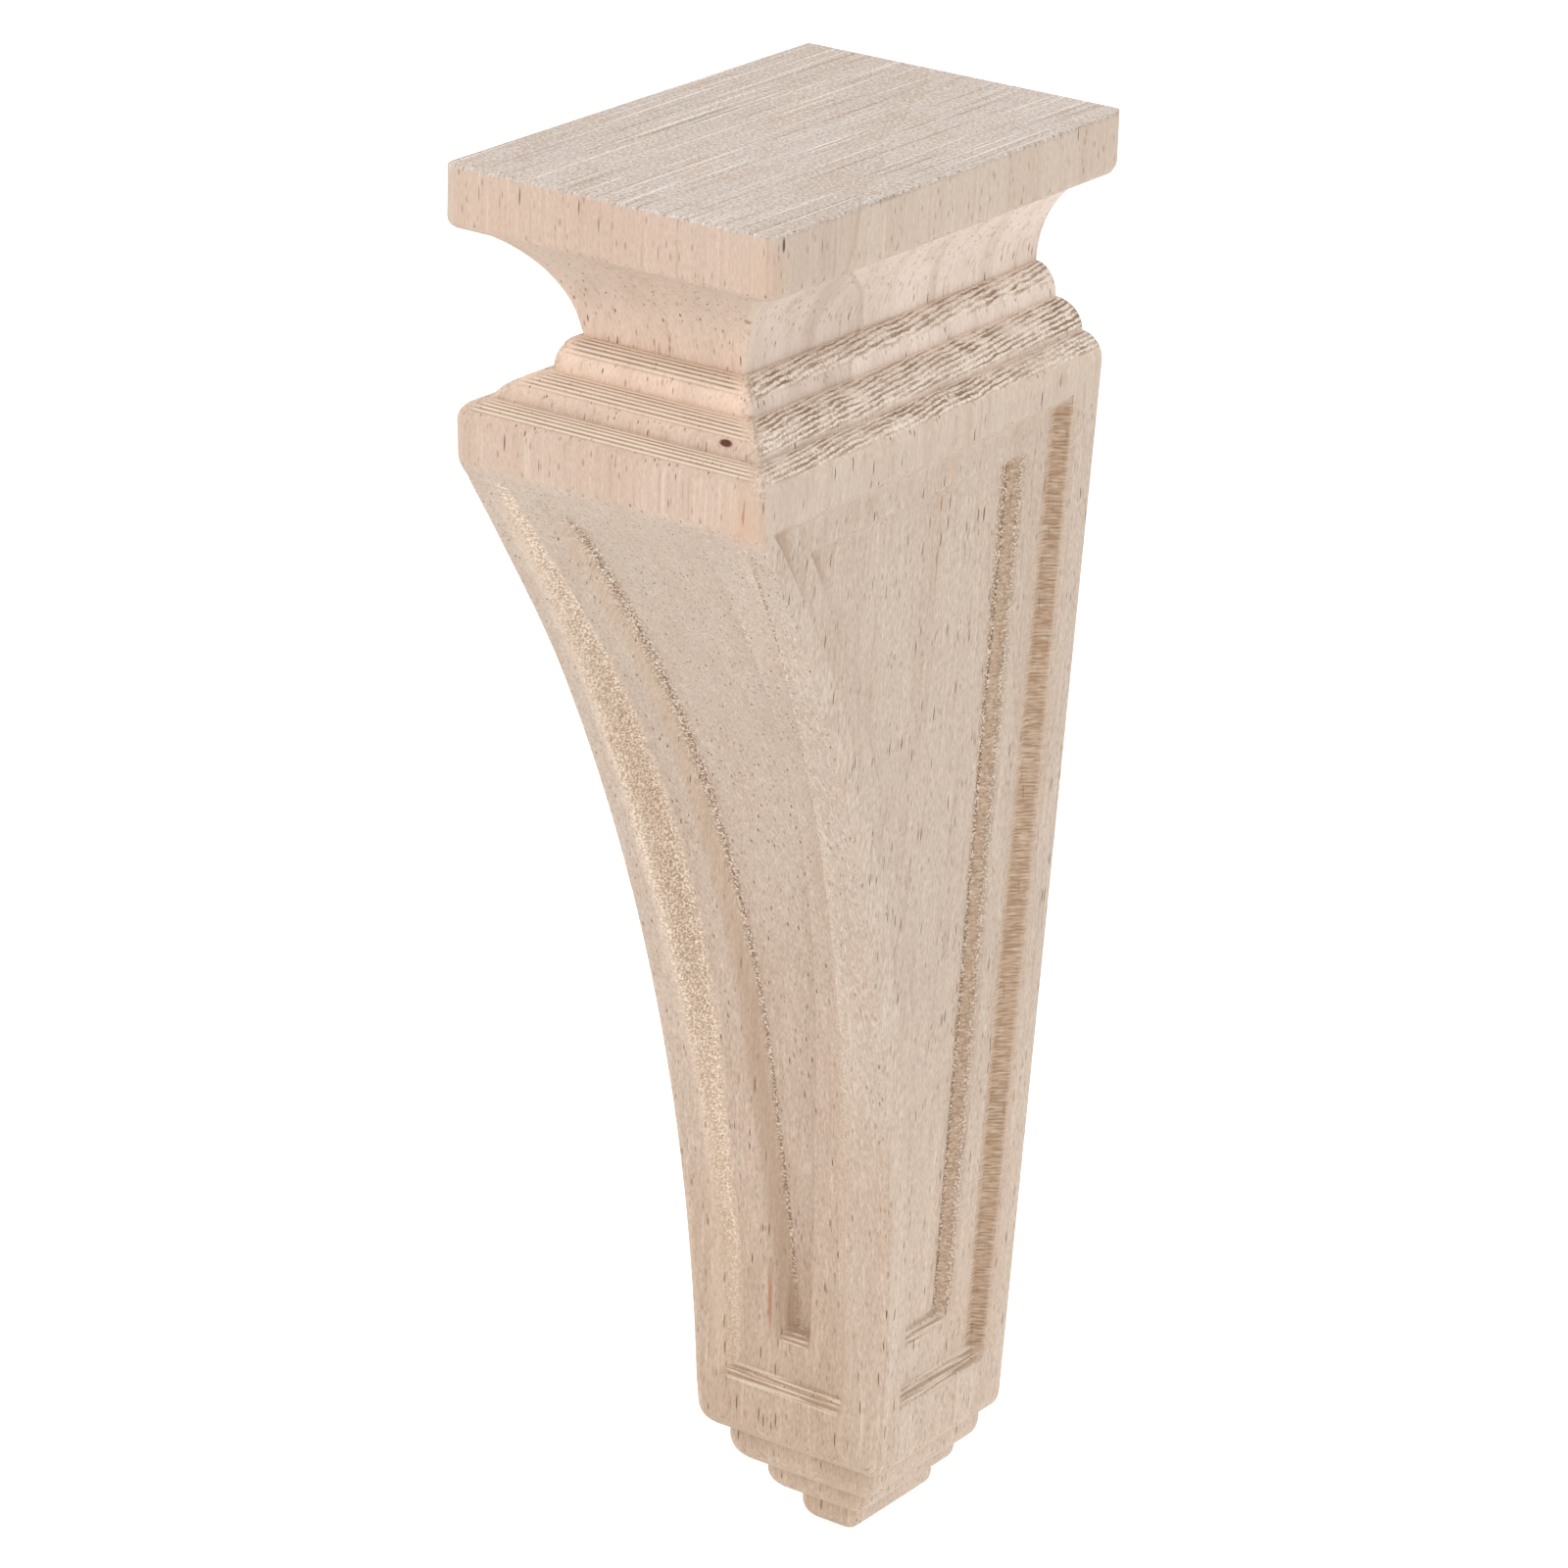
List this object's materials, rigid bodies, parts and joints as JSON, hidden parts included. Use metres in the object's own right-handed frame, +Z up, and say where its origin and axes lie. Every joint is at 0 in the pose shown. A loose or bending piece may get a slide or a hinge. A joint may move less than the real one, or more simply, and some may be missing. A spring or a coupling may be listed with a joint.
{
  "type": "shelf bracket",
  "caption": "Slim carved wooden corbel that holds up a shelf: moulded head, tapered body with a concave front, nested panels and a stepped foot.",
  "frame": {"origin": "centre of the flat back, halfway up it", "axes": "+Z up as mounted, -Y out from the wall towards the front, X along the width, the same on both sides of X = 0"},
  "size_m": [0.076, 0.118, 0.311],
  "materials": {
    "wood": "bare sanded rubberwood with cut pores and tool marks, unvarnished"
  },
  "bodies": {
    "root": {"corbel": "wood"}
  },
  "joints": []
}
